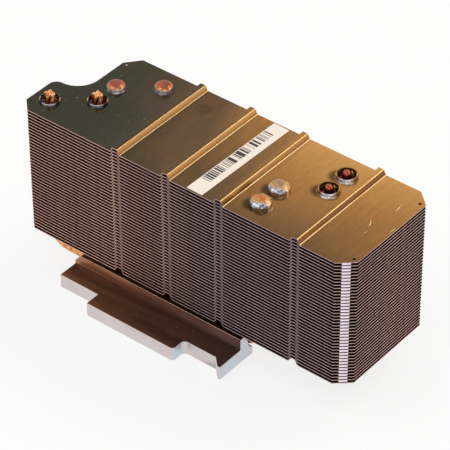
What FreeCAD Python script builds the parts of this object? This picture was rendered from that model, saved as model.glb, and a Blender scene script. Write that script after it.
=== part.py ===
"""Passive heatsink for a two-unit server processor.

Forty pressed fins stand on four U-shaped heat pipes. Each pipe has one leg near either end of the
stack and lies between its legs in a groove of the base block. X runs along the stack, Y across it
and Z up. The origin is the centre of the face that rests on the processor.
"""
import FreeCAD, Part
import math
import os

import Sketcher

SIZES = [
    # fins
    ("fin_length", 133.0, "length of a fin along X"),
    ("fin_depth", 44.2, "depth of a fin along Y"),
    ("fin_left", -55.1, "X of the fins' left end, measured from the processor's centre"),
    ("sheet", 0.3, "thickness of the fin sheet"),
    ("fin_pitch", 1.24, "height from one fin to the next"),
    ("left_corner", 4.1, "cut at the front left corner, both ways"),
    ("right_corner_x", 5.2, "cut at the right corners along X"),
    ("right_corner_y", 4.6, "cut at the right corners along Y"),
    ("notch_length", 11.2, "how far the notch at the back left cuts in along X"),
    ("notch_front", 18.2, "Y from the front edge to the tip of the tongue beside the notch"),
    ("tongue_radius", 3.0, "radius of the tongue's outer corner"),
    ("notch_corner_x", 4.3, "cut at the back left corner along X"),
    ("notch_corner_y", 5.2, "cut at the back left corner along Y"),
    # pressed ribs
    ("rib_1_x", -14.1, "X of the first rib"),
    ("rib_2_x", 6.4, "X of the second rib"),
    ("rib_3_x", 27.6, "X of the third rib"),
    ("rib_4_x", 57.4, "X of the fourth rib"),
    ("rib_foot", 3.8, "width of a rib at its foot"),
    ("rib_crest", 2.0, "width of a rib at its crest"),
    ("rib_rise", 1.8, "height of a rib"),
    # relief holes
    ("relief_hole", 1.1, "diameter of the relief hole inside each corner of the top fin"),
    ("relief_inset", 1.1, "distance from a relief hole to the corner's cut"),
    ("relief_shift", 2.4, "a relief hole's place along the cut, from its middle towards the fin's end"),
    # heat pipes
    ("pipe_diameter", 6.0, "outer diameter of a heat pipe"),
    ("pipe_step_x", 12.4, "X step between neighbouring columns of pipe legs"),
    ("pipe_step_y", 9.2, "Y step between neighbouring heat pipes"),
    ("left_leg_x", -48.7, "X of the outermost leg at the left"),
    ("right_leg_x", 50.2, "X of the outermost legs at the right"),
    ("bend_radius", 7.0, "centreline radius of a pipe's bends"),
    ("pipe_rise", 1.0, "how far a pipe's straight wall stands above the top fin"),
    ("dome_rise", 1.6, "height of a domed pipe end above its straight wall"),
    ("dome_shoulder", 0.7, "cut that eases a dome into its straight wall"),
    ("crimp_depth", 1.0, "how far below the top fin's face a crimped end starts to narrow"),
    ("left_tip_top", 3.5, "top of a crimped tip at the left, above the top fin"),
    ("right_tip_top", 2.0, "top of a crimped tip at the right, above the top fin"),
    ("tip_width", 2.8, "width of a crimped tip"),
    ("tip_thickness", 1.4, "thickness of a crimped tip"),
    ("pipe_fit", 0.1, "clearance round a pipe in the fins and in the base"),
    # collars of the top fin
    ("collar_wall", 0.35, "wall of the collars drawn up round the pipes"),
    ("collar_rise", 0.9, "height of the collars above the top fin"),
    # base block
    ("base_left", -34.5, "X of the base's left end"),
    ("base_right", 35.5, "X of the base's right end"),
    ("flange_thickness", 5.2, "thickness of the clamping flanges"),
    ("ridge_rise", 4.2, "height of the grooved ridge above the flanges"),
    ("ridge_width", 41.4, "width of the ridge across Y"),
    ("ridge_foot", 0.3, "sloping foot of the ridge, both ways"),
    ("ridge_end_cut", 2.7, "sloping cut at the ridge's left end, both ways"),
    ("flange_width", 56.4, "width of the base over its narrow flanges"),
    ("ledge_reach", 5.6, "how far the clamping ledges stand out from the narrow flanges"),
    ("ledge_length", 36.4, "length of a clamping ledge along X"),
    ("key_reach", 3.1, "how far the keys at the right end stand out along Y"),
    ("key_land", 1.1, "length of a key's flat land along X"),
    ("recess_width", 29.2, "width of the recess in the base's right end"),
    ("recess_depth", 5.0, "depth of the recess in the base's right end"),
    ("inner_corner_radius", 1.8, "radius in the corner between a right flange and its ledge"),
    ("outer_corner_radius", 1.2, "radius of a ledge's right corner"),
    ("pipe_cover", 0.6, "depth of a pipe's top below the ridge's top"),
    # label
    ("label_x", 18.2, "X of the label strip's middle line"),
    ("label_width", 6.4, "width of the label strip"),
    ("label_margin", 0.5, "distance from the label's ends to the fin's edges"),
    ("label_thickness", 0.1, "thickness of the label"),
]
FIN_TOTAL = 40           # fins in the stack, the top one included
PIPE_SIDES = 12          # flats round a heat pipe and round its collar
BEND_STEPS = 4           # straight runs in a pipe's quarter bend
TONGUE_STEPS = 2         # chords round the tongue's corner on a plain fin
NOTCH_STEPS = 3          # chords round the notch's corner on a plain fin
TOP_FIN_REFINE = 3       # times as many chords on the top fin, which is open to view
RIBS = ("rib_1_x", "rib_2_x", "rib_3_x", "rib_4_x")

doc = FreeCAD.newDocument("server_heatsink")
sheet = doc.addObject("Spreadsheet::Sheet", "Sizes")
for row, (alias, value, meaning) in enumerate(SIZES, start=1):
    sheet.set(f"A{row}", meaning)
    sheet.set(f"B{row}", str(value))
    sheet.setAlias(f"B{row}", alias)
doc.recompute()

GROUND = FreeCAD.Placement()
FRONT = FreeCAD.Placement(FreeCAD.Vector(), FreeCAD.Rotation(FreeCAD.Vector(1, 0, 0), 90))
SIDE = FreeCAD.Placement(FreeCAD.Vector(), FreeCAD.Rotation(0.5, 0.5, 0.5, 0.5))

# Places worked out from the sizes, written as expressions on the sheet.
PIPE_AXIS = "(Sizes.flange_thickness + Sizes.ridge_rise - Sizes.pipe_cover - Sizes.pipe_diameter / 2)"
RIDGE_TOP = "(Sizes.flange_thickness + Sizes.ridge_rise)"
STACK_BOTTOM = f"({PIPE_AXIS} + Sizes.bend_radius)"
STACK_TOP = f"({STACK_BOTTOM} + {FIN_TOTAL - 1} * Sizes.fin_pitch + Sizes.sheet)"
FIN_RIGHT = "(Sizes.fin_left + Sizes.fin_length)"
FIN_BACK = "(Sizes.fin_depth / 2)"
HOLE_RADIUS = "(Sizes.pipe_diameter / 2 + Sizes.pipe_fit)"
LEDGE_EDGE = "(Sizes.flange_width / 2 + Sizes.ledge_reach)"

# One row for each heat pipe: its left leg and its right leg, counted in columns from the outermost
# one, and the end that is crimped shut.
PIPES = [
    {"left": 0, "right": 1, "crimped": "left"},
    {"left": 1, "right": 1, "crimped": "left"},
    {"left": 1, "right": 0, "crimped": "right"},
    {"left": 2, "right": 0, "crimped": "right"},
]


def number(expression):
    """The value of an expression on the sheet."""
    return float(sheet.evalExpression(expression))


def add(kind, name, **bound):
    """A new document object whose named properties are bound to expressions."""
    item = doc.addObject(kind, name)
    for prop, expression in bound.items():
        item.setExpression(prop, expression)
    return item


def place(item, x="0", y="0", z="0", turn=None):
    """Bind an object's position, and its angle about Z, to expressions."""
    item.setExpression("Placement.Base.x", f"({x}) * 1 mm")
    item.setExpression("Placement.Base.y", f"({y}) * 1 mm")
    item.setExpression("Placement.Base.z", f"({z}) * 1 mm")
    if turn is not None:
        item.Placement.Rotation = FreeCAD.Rotation(FreeCAD.Vector(0, 0, 1), 1)
        item.setExpression("Placement.Rotation.Angle", turn)
    return item


def sketch_line(name, points, plane, closed=True):
    """A sketch of straight lines, each corner bound to the sheet by two expressions."""
    sketch = doc.addObject("Sketcher::SketchObject", name)
    sketch.Placement = plane
    corners = [FreeCAD.Vector(number(across), number(up), 0) for across, up in points]
    lines = len(points) if closed else len(points) - 1
    for i in range(lines):
        sketch.addGeometry(Part.LineSegment(corners[i], corners[(i + 1) % len(points)]))
    for i in range(lines if closed else lines - 1):
        sketch.addConstraint(Sketcher.Constraint("Coincident", i, 2, (i + 1) % lines, 1))
    for i, (across, up) in enumerate(points):
        line, end = (i, 1) if i < lines else (i - 1, 2)
        for axis, expression, value in (("X", across, corners[i].x), ("Y", up, corners[i].y)):
            index = sketch.addConstraint(Sketcher.Constraint(f"Distance{axis}", -1, 1, line, end, value))
            sketch.setExpression(f"Constraints[{index}]", expression)
    return sketch


def prism(name, points, plane, length, both_ways=False):
    """A solid drawn out from a closed sketch."""
    item = add("Part::Extrusion", name, LengthFwd=length)
    item.Base = sketch_line(name + "_sketch", points, plane)
    item.DirMode = "Normal"
    item.Solid = True
    item.Symmetric = both_ways
    return item


def combine(kind, name, pieces):
    """A boolean of several shapes."""
    item = doc.addObject(kind, name)
    item.Shapes = pieces
    item.Refine = True
    return item


def cut(name, base, tool):
    """The base shape less the tool shape."""
    item = doc.addObject("Part::Cut", name)
    item.Base = base
    item.Tool = tool
    item.Refine = True
    return item


def arc_points(centre_x, centre_y, radius, start, end, steps):
    """Points along an arc, both ends included, as expressions."""
    angles = [start + (end - start) * i / steps for i in range(steps + 1)]
    return [
        (f"{centre_x} + {radius} * cos({angle} deg)", f"{centre_y} + {radius} * sin({angle} deg)")
        for angle in angles
    ]


def rib_profile():
    """The fin seen from the front: a thin sheet folded up into four hat-shaped ribs."""
    run = "((Sizes.rib_foot - Sizes.rib_crest) / 2)"
    lean = f"(Sizes.sheet * (sqrt({run}^2 + Sizes.rib_rise^2) - {run}) / Sizes.rib_rise)"
    low, high = STACK_BOTTOM, f"{STACK_BOTTOM} + Sizes.sheet"
    under, over = [("Sizes.fin_left", low)], [("Sizes.fin_left", high)]
    for rib in RIBS:
        for side in (-1, 1):
            foot = (f"Sizes.{rib} + {side} * Sizes.rib_foot / 2", 0)
            crest = (f"Sizes.{rib} + {side} * Sizes.rib_crest / 2", 1)
            for across, raised in (foot, crest) if side < 0 else (crest, foot):
                over.append((across, f"{high} + {raised} * Sizes.rib_rise"))
                under.append((f"{across} - {side} * {lean}", f"{low} + {raised} * Sizes.rib_rise"))
    under.append((FIN_RIGHT, low))
    over.append((FIN_RIGHT, high))
    return under + over[::-1]


def fin_plan(refine):
    """The fin's outline from above: cut corners, and at the back left a tongue beside a notch."""
    left, right, back = "Sizes.fin_left", FIN_RIGHT, FIN_BACK
    front = f"-{FIN_BACK}"
    tip = f"({front} + Sizes.notch_front)"
    notch = "(Sizes.fin_left + Sizes.notch_length)"
    bay_radius = "(Sizes.notch_length - Sizes.tongue_radius)"
    turn_x = "(Sizes.fin_left + Sizes.tongue_radius)"
    tongue = arc_points(turn_x, f"({tip} - Sizes.tongue_radius)", "Sizes.tongue_radius",
                        180, 90, TONGUE_STEPS * refine)
    bay = arc_points(turn_x, f"({tip} + {bay_radius})", bay_radius, -90, 0, NOTCH_STEPS * refine)
    return [
        (f"{left} + Sizes.left_corner", front),
        (f"{right} - Sizes.right_corner_x", front),
        (right, f"{front} + Sizes.right_corner_y"),
        (right, f"{back} - Sizes.right_corner_y"),
        (f"{right} - Sizes.right_corner_x", back),
        (f"{notch} + Sizes.notch_corner_x", back),
        (notch, f"{back} - Sizes.notch_corner_y"),
    ] + bay[::-1] + tongue[::-1][1:] + [(left, f"{front} + Sizes.left_corner")]


def corner_cuts():
    """Middle, and angle, of each cut corner, going round so that the fin lies on its left."""
    left, right, back, front = "Sizes.fin_left", FIN_RIGHT, FIN_BACK, f"-{FIN_BACK}"
    notch = "(Sizes.fin_left + Sizes.notch_length)"
    right_turn = "atan(Sizes.right_corner_y / Sizes.right_corner_x)"
    notch_turn = "atan(Sizes.notch_corner_y / Sizes.notch_corner_x)"
    return {
        "front_left": (f"{left} + Sizes.left_corner / 2", f"{front} + Sizes.left_corner / 2", "-45 deg"),
        "front_right": (f"{right} - Sizes.right_corner_x / 2",
                        f"{front} + Sizes.right_corner_y / 2", right_turn),
        "back_right": (f"{right} - Sizes.right_corner_x / 2",
                       f"{back} - Sizes.right_corner_y / 2", f"180 deg - {right_turn}"),
        "back_left": (f"{notch} + Sizes.notch_corner_x / 2",
                      f"{back} - Sizes.notch_corner_y / 2", f"180 deg + {notch_turn}"),
    }


def relief_holes():
    """Cutters for the small holes inside the top fin's corners."""
    cutters = []
    for corner, (x, y, turn) in corner_cuts().items():
        hole = add("Part::Prism", "relief_" + corner, Circumradius="Sizes.relief_hole / 2",
                   Height="2 * Sizes.fin_pitch")
        hole.Polygon = PIPE_SIDES // 2
        inset = "(Sizes.relief_inset + Sizes.relief_hole / 2)"
        shift = "Sizes.relief_shift" if corner in ("front_right", "back_left") else "(-Sizes.relief_shift)"
        cutters.append(place(hole, f"{x} - {inset} * sin({turn}) + {shift} * cos({turn})",
                             f"{y} + {inset} * cos({turn}) + {shift} * sin({turn})",
                             f"{STACK_BOTTOM} - Sizes.fin_pitch"))
    return cutters


def leg_x(pipe, end):
    """X of a heat pipe's leg."""
    if end == "left":
        return f"(Sizes.left_leg_x + {pipe['left']} * Sizes.pipe_step_x)"
    return f"(Sizes.right_leg_x - {pipe['right']} * Sizes.pipe_step_x)"


def pipe_y(index):
    """Y of a heat pipe, the four of them centred across the stack."""
    return f"({index - (len(PIPES) - 1) / 2} * Sizes.pipe_step_y)"


def leg_windows():
    """Cutters through the plain fins, one for each column of neighbouring pipe legs."""
    windows = []
    for end in ("left", "right"):
        for column in sorted({pipe[end] for pipe in PIPES}):
            rows = [i for i, pipe in enumerate(PIPES) if pipe[end] == column]
            window = add("Part::Box", f"window_{end}_{column}", Length=f"2 * {HOLE_RADIUS}",
                         Width=f"{len(rows) - 1} * Sizes.pipe_step_y + 2 * {HOLE_RADIUS}",
                         Height="3 * Sizes.fin_pitch")
            windows.append(place(window, f"{leg_x(PIPES[rows[0]], end)} - {HOLE_RADIUS}",
                                 f"{pipe_y(rows[0])} - {HOLE_RADIUS}",
                                 f"{STACK_BOTTOM} - Sizes.fin_pitch"))
    return windows


def leg_prisms(name, radius, low, height):
    """Round prisms, one on each pipe leg."""
    prisms = []
    for index, pipe in enumerate(PIPES):
        for end in ("left", "right"):
            item = add("Part::Prism", f"{name}_{end}_{index + 1}", Circumradius=radius, Height=height)
            item.Polygon = PIPE_SIDES
            prisms.append(place(item, leg_x(pipe, end), pipe_y(index), low))
    return prisms


def pressed_sheet(name, refine):
    """A ribbed sheet trimmed to the fin's outline."""
    strip = prism(name + "_strip", rib_profile(), FRONT, "Sizes.fin_depth", both_ways=True)
    plan = prism(name + "_plan", fin_plan(refine), GROUND, f"2 * {STACK_TOP}")
    return combine("Part::MultiCommon", name + "_sheet", [strip, plan])


def make_fins():
    """All plain fins, from the lowest up, and the top fin with its collars."""
    sheet_shape = pressed_sheet("plain", 1)
    windows = combine("Part::MultiFuse", "leg_windows", leg_windows())
    fins = []
    for index in range(FIN_TOTAL - 1):
        fin = cut(f"fin_{index + 1:02d}", sheet_shape, windows)
        fins.append(place(fin, z=f"{index} * Sizes.fin_pitch"))

    top_sheet = pressed_sheet("top", TOP_FIN_REFINE)
    collars = leg_prisms("collar", f"{HOLE_RADIUS} + Sizes.collar_wall",
                         STACK_BOTTOM, "Sizes.sheet + Sizes.collar_rise")
    drawn = combine("Part::MultiFuse", "top_with_collars", [top_sheet] + collars)
    holes = leg_prisms("hole", HOLE_RADIUS, f"{STACK_BOTTOM} - Sizes.fin_pitch", "3 * Sizes.fin_pitch")
    openings = combine("Part::MultiFuse", "top_openings", holes + relief_holes())
    top_fin = cut("top_fin", drawn, openings)
    return fins + [place(top_fin, z=f"{FIN_TOTAL - 1} * Sizes.fin_pitch")]


def wall_top(pipe, end):
    """Height where a pipe's straight wall ends."""
    return f"({STACK_TOP} - Sizes.crimp_depth)" if pipe["crimped"] == end else f"({STACK_TOP} + Sizes.pipe_rise)"


def end_rise(pipe, end):
    """How far a pipe's end rises above its wall while it narrows by as much all round."""
    return "((Sizes.pipe_diameter - Sizes.tip_width) / 2)" if pipe["crimped"] == end else "Sizes.dome_rise"


def pipe_route(pipe):
    """A heat pipe's centreline: down the left leg, along the base and up the right leg."""
    left, right, low = leg_x(pipe, "left"), leg_x(pipe, "right"), PIPE_AXIS
    bend = "Sizes.bend_radius"
    left_bend = arc_points(f"({left} + {bend})", f"({low} + {bend})", bend, 180, 270, BEND_STEPS)
    right_bend = arc_points(f"({right} - {bend})", f"({low} + {bend})", bend, 270, 360, BEND_STEPS)
    left_top = f"{wall_top(pipe, 'left')} + {end_rise(pipe, 'left')}"
    right_top = f"{wall_top(pipe, 'right')} + {end_rise(pipe, 'right')}"
    return [(left, left_top)] + left_bend + right_bend + [(right, right_top)]


def pipe_tube(name, index):
    """A pipe of even width swept along its route."""
    points = pipe_route(PIPES[index])
    route = sketch_line(name + "_route", points, FRONT, closed=False)
    route.setExpression("Placement.Base.y", f"{pipe_y(index)} * 1 mm")
    section = add("Part::RegularPolygon", name + "_section", Circumradius="Sizes.pipe_diameter / 2")
    section.Polygon = PIPE_SIDES
    place(section, points[0][0], pipe_y(index), points[0][1])
    tube = doc.addObject("Part::Sweep", name + "_tube")
    tube.Sections = [section]
    tube.Spine = (route, [f"Edge{i + 1}" for i in range(len(points) - 1)])
    tube.Solid = True
    tube.Transition = "Right corner"
    return tube


def chamfer_rims(name, base, rims):
    """Cut the rims of a pipe's ends, each given as the leg's X, the rim's height and the cut's size."""
    doc.recompute()
    reach = number("Sizes.pipe_diameter")
    cuts = []
    for x, z, size in rims:
        for index, edge in enumerate(base.Shape.Edges, start=1):
            ends = [vertex.Point for vertex in edge.Vertexes]
            if all(abs(end.z - number(z)) < 1e-5 and abs(end.x - number(x)) < reach for end in ends):
                cuts.append((index, number(size), number(size)))
    item = doc.addObject("Part::Chamfer", name)
    item.Base = base
    item.Edges = cuts
    return item


def crimped_tip(name, index, end):
    """The flattened tip on top of a crimped end."""
    pipe = PIPES[index]
    low = f"({wall_top(pipe, end)} + {end_rise(pipe, end)} / 2)"
    tip = add("Part::Box", name + "_tip", Length="Sizes.tip_width", Width="Sizes.tip_thickness",
              Height=f"{STACK_TOP} + Sizes.{end}_tip_top - {low}")
    return place(tip, f"{leg_x(pipe, end)} - Sizes.tip_width / 2",
                 f"{pipe_y(index)} - Sizes.tip_thickness / 2", low)


def make_pipe(index):
    """One heat pipe: a tube along its route with one end domed and the other crimped shut."""
    name = f"heat_pipe_{index + 1}"
    pipe = PIPES[index]
    domed = "right" if pipe["crimped"] == "left" else "left"
    rims = [
        (leg_x(pipe, end), f"{wall_top(pipe, end)} + {end_rise(pipe, end)}", end_rise(pipe, end))
        for end in ("left", "right")
    ]
    narrowed = chamfer_rims(name + "_narrowed", pipe_tube(name, index), rims)
    shoulder = (leg_x(pipe, domed), wall_top(pipe, domed), "Sizes.dome_shoulder")
    eased = chamfer_rims(name + "_eased", narrowed, [shoulder])
    return combine("Part::MultiFuse", name, [eased, crimped_tip(name, index, pipe["crimped"])])


def base_profile():
    """The base's section across Y: flanges, and the ridge with its sloping feet."""
    wide, ridge = LEDGE_EDGE, "Sizes.ridge_width / 2"
    flange, top, foot = "Sizes.flange_thickness", RIDGE_TOP, "Sizes.ridge_foot"
    half = [(wide, "0"), (wide, flange), (f"{ridge} + {foot}", flange),
            (ridge, f"{flange} + {foot}"), (ridge, top)]
    return half + [(f"-({across})", up) for across, up in half[::-1]]


def base_plan():
    """The base's outline from above: narrow flanges, ledges, keys and the recessed right end."""
    left, right = "Sizes.base_left", "Sizes.base_right"
    narrow, wide, ledge = "Sizes.flange_width / 2", LEDGE_EDGE, "Sizes.ledge_length / 2"
    key = f"{narrow} + Sizes.key_reach"
    recess = "Sizes.recess_width / 2"
    half = [
        (left, narrow), (f"-{ledge}", narrow), (f"-{ledge}", wide), (ledge, wide), (ledge, narrow),
        (f"{right} - Sizes.key_land - Sizes.key_reach", narrow), (f"{right} - Sizes.key_land", key),
        (right, key), (right, recess), (f"{right} - Sizes.recess_depth", recess),
    ]
    return [(x, f"-({y})") for x, y in half] + half[::-1]


def groove_cutters():
    """One cutter for each pipe's groove: a round bottom, open at the ridge's top."""
    cutters = []
    for index in range(len(PIPES)):
        bottom = add("Part::Cylinder", f"groove_{index + 1}_bottom", Radius=HOLE_RADIUS,
                     Height="Sizes.base_right - Sizes.base_left")
        bottom.Placement.Rotation = FreeCAD.Rotation(FreeCAD.Vector(0, 1, 0), 90)
        mouth = add("Part::Box", f"groove_{index + 1}_mouth", Width=f"2 * {HOLE_RADIUS}",
                    Length="Sizes.base_right - Sizes.base_left", Height="Sizes.pipe_diameter")
        cutters.append(place(bottom, "Sizes.base_left", pipe_y(index), PIPE_AXIS))
        cutters.append(place(mouth, "Sizes.base_left", f"{pipe_y(index)} - {HOLE_RADIUS}", PIPE_AXIS))
    return cutters


def make_base():
    """The base block, cut to its outline from a ridged bar."""
    bar = prism("base_bar", base_profile(), SIDE, "3 * Sizes.flange_width", both_ways=True)
    plan = prism("base_outline", base_plan(), GROUND, "2 * Sizes.flange_width")
    blank = combine("Part::MultiCommon", "base_blank", [bar, plan])
    slope = [
        ("Sizes.base_left", RIDGE_TOP),
        ("Sizes.base_left", f"{RIDGE_TOP} - Sizes.ridge_end_cut"),
        ("Sizes.base_left + Sizes.ridge_end_cut", RIDGE_TOP),
    ]
    end_cut = prism("ridge_end_cutter", slope, FRONT, "2 * Sizes.ridge_width", both_ways=True)
    cutters = combine("Part::MultiFuse", "base_cutters", groove_cutters() + [end_cut])
    grooved = cut("base_grooved", blank, cutters)
    doc.recompute()
    rounded = doc.addObject("Part::Fillet", "base")
    rounded.Base = grooved
    rounded.Edges = corner_edges(grooved.Shape)
    return rounded


def corner_edges(shape):
    """The upright edges at the right of each ledge, with their radii."""
    ledge = number("Sizes.ledge_length / 2")
    radii = {
        number(LEDGE_EDGE): number("Sizes.outer_corner_radius"),
        number("Sizes.flange_width / 2"): number("Sizes.inner_corner_radius"),
    }
    edges = []
    for index, edge in enumerate(shape.Edges, start=1):
        ends = [vertex.Point for vertex in edge.Vertexes]
        upright = len(ends) == 2 and math.hypot(ends[0].x - ends[1].x, ends[0].y - ends[1].y) < 1e-6
        for across, radius in radii.items():
            if upright and math.hypot(ends[0].x - ledge, abs(ends[0].y) - across) < 1e-6:
                edges.append((index, radius, radius))
    return edges


def make_label():
    """A paper strip stuck across the top fin, between two ribs."""
    label = add("Part::Box", "label", Length="Sizes.label_width",
                Width="Sizes.fin_depth - 2 * Sizes.label_margin", Height="Sizes.label_thickness")
    return place(label, "Sizes.label_x - Sizes.label_width / 2",
                 "-Sizes.fin_depth / 2 + Sizes.label_margin", STACK_TOP)


nodes = make_fins() + [make_pipe(index) for index in range(len(PIPES))] + [make_base(), make_label()]
for node in nodes:
    node.Label = node.Name
doc.recompute()

for item in doc.Objects:
    if "Invalid" in item.State or "Error" in item.State:
        raise RuntimeError(f"{item.Label} did not build: {item.State}")
for node in nodes:
    if node.Shape.isNull() or not node.Shape.isValid():
        raise RuntimeError(f"{node.Label} has no valid shape")

os.makedirs("parts", exist_ok=True)
for node in nodes:
    node.Shape.exportStep(f"parts/{node.Label}.step")
print(f"{len(nodes)} sub-parts written")
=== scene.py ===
"""Passive server heatsink: finishes and fine detail on the packed model, laid out as an add-on."""
import math

import bmesh
import bpy
from bpy.props import FloatProperty, FloatVectorProperty, IntProperty, PointerProperty
from mathutils import Euler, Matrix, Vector, noise


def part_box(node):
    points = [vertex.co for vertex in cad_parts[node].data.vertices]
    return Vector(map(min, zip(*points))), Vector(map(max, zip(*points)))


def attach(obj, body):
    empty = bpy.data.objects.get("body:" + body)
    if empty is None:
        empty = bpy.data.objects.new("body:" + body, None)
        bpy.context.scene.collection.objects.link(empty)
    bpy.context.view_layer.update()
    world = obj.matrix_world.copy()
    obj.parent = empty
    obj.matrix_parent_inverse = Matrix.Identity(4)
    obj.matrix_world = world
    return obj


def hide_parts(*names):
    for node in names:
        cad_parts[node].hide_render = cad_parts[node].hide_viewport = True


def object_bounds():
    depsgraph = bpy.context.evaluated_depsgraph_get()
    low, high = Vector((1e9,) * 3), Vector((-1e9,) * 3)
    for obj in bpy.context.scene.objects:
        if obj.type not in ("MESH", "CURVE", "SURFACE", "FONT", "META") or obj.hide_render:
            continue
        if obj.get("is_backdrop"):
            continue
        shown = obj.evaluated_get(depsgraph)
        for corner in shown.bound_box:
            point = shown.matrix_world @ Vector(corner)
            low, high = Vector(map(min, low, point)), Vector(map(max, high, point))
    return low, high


bl_info = {
    "name": "Server Heatsink",
    "version": (1, 0, 0),
    "blender": (4, 5, 0),
    "location": "3D View > Sidebar > Heatsink",
    "description": "Builds a passive server heatsink: pressed fins, heat pipes, solder, base and label",
    "category": "Object",
}

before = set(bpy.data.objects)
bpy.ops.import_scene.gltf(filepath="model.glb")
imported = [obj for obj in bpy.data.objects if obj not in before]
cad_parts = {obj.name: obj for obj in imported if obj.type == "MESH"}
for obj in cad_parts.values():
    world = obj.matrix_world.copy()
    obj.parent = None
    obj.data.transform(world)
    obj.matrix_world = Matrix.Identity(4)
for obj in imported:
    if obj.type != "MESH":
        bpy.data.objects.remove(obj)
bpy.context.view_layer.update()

MM = 0.001
BODY = "root"
PIPE_NODES = ("heat_pipe_1", "heat_pipe_2", "heat_pipe_3", "heat_pipe_4")
# The end of each pipe that is crimped shut. The other end is domed.
CRIMPED_ENDS = ("left", "left", "right", "right")
# Domed ends that carry a rough cap of solder.
CAPPED_PIPES = (1, 2)
# X of each rib's middle from the fins' left end, in millimetres.
RIB_REACH = (41.0, 61.5, 82.7, 112.5)
# Slots of a fin's mesh. Each rim slot comes as far after its face slot as EDGE comes after PLATE.
PLATE, FLANK, FOLD, EDGE, FLANK_EDGE, FOLD_EDGE, TAB = range(7)
# Slots of the base's mesh.
SIDE, END, UPPER, EDGE_HIGHLIGHT, CORNER = range(5)
# Depth below the top fin's face where a pipe's leg meets its domed or crimped end.
END_START = 3.0 * MM
# Direction of the side of the round pieces that faces the main light, in X and Y. Collars and solder
# rings are painted silver towards it and darker away from it: painted light and shade.
LIT_SIDE = (0.55, -0.84)


# Sizes and colours ---------------------------------------------------------------------------------

def length(name, text, value, **limits):
    """A length that a user can set, given in millimetres."""
    return FloatProperty(name=name, description=text, default=value * MM, unit="LENGTH",
                         precision=5, min=0.0, **limits)


def colour(name, text, value):
    """A colour that a user can set."""
    return FloatVectorProperty(name=name, description="Colour of " + text, default=value, subtype="COLOR",
                               size=3, min=0.0, max=1.0)


def swivel(name, text, degrees):
    """An angle that a user can set, given in degrees."""
    return FloatProperty(name=name, description=text, default=math.radians(degrees), subtype="ANGLE")


def fraction(name, text, value):
    """A share from 0 to 1 that a user can set."""
    return FloatProperty(name=name, description=text, default=value, min=0.0, max=1.0, subtype="FACTOR")


class FinSizes(bpy.types.PropertyGroup):
    """Sizes and colours of the pressed fins."""
    thickness: length("Sheet thickness", "Thickness of the fin sheet", 0.3)
    left_corner: length("Left corner", "Cut at the front left corner", 4.1)
    right_corner_x: length("Right corner X", "Cut at the right corners along X", 5.2)
    right_corner_y: length("Right corner Y", "Cut at the right corners along Y", 4.6)
    notch_length: length("Notch length", "How far the notch cuts in along X", 11.2)
    notch_front: length("Notch front", "Front edge to the tip of the tongue beside the notch", 18.2)
    tongue_radius: length("Tongue radius", "Radius of the tongue's outer corner", 3.0)
    notch_corner_x: length("Notch corner X", "Cut at the back left corner along X", 4.3)
    notch_corner_y: length("Notch corner Y", "Cut at the back left corner along Y", 5.2)
    rib_foot: length("Rib foot", "Width of a rib at its foot", 3.8)
    rib_crest: length("Rib crest", "Width of a rib at its crest", 2.0)
    fold_radius: length("Fold radius", "Radius of the folds along a rib", 0.35)
    hole_fit: length("Hole fit", "Clearance round a pipe in the fins", 0.1)
    shear: length("Shear", "Width of the roll-over along a sheared edge", 0.08)
    tab_width: length("Tab width", "Width of the spacer tab at each corner", 2.7)
    tab_bend: length("Tab bend", "Outer radius of a spacer tab's bend", 0.35)
    tab_gap: length("Tab gap", "Gap below a spacer tab", 0.32)
    relief_hole: length("Relief hole", "Diameter of the relief hole inside each corner", 1.1)
    relief_inset: length("Relief inset", "Distance from a relief hole to the corner's cut", 1.1)
    relief_shift: length("Relief shift", "Relief hole's place along its cut, from the middle", 2.4)
    arc_steps: IntProperty(name="Arc steps", description="Chords in a quarter turn of the outline",
                           default=10, min=2, max=40)
    # The top fin's tones are a painted reflection, from dark olive at the left end to gold at the back right.
    left_tone: colour("Left tone", "the top fin at its left end", (0.047, 0.043, 0.029))
    middle_tone: colour("Middle tone", "the top fin at its middle", (0.140, 0.080, 0.037))
    right_tone: colour("Right tone", "the top fin at its right end", (0.42, 0.195, 0.055))
    bright_tone: colour("Bright tone", "the top fin at its back right", (0.62, 0.32, 0.098))
    # Near-black inner fins: painted shade between the fins.
    inner_shade: colour("Inner tone", "the fins inside the stack", (0.012, 0.005, 0.005))
    # The edge tones change along X and are paler where the edges face right: painted light.
    left_edge: colour("Left edge", "the sheared edges at the left", (0.80, 0.465, 0.370))
    right_edge: colour("Right edge", "the sheared edges at the right", (0.47, 0.33, 0.335))
    side_edge_light: colour("Side edges", "the sheared edges that face right", (0.68, 0.43, 0.39))
    # A painted sheen on the ribs' right flanks, brighter at the left end than at the right.
    left_flank: colour("Left flank", "a rib's flank at the left", (0.21, 0.122, 0.050))
    right_flank: colour("Right flank", "a rib's flank at the right", (0.085, 0.040, 0.018))
    # A painted highlight along the ribs' folds.
    fold_highlight: colour("Fold tone", "the burnished folds", (0.86, 0.60, 0.28))
    # Painted light: the tabs' near-white lilac tone.
    tab_lit_tone: colour("Tab tone", "the folded spacer tabs", (0.93, 0.87, 0.97))


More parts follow.
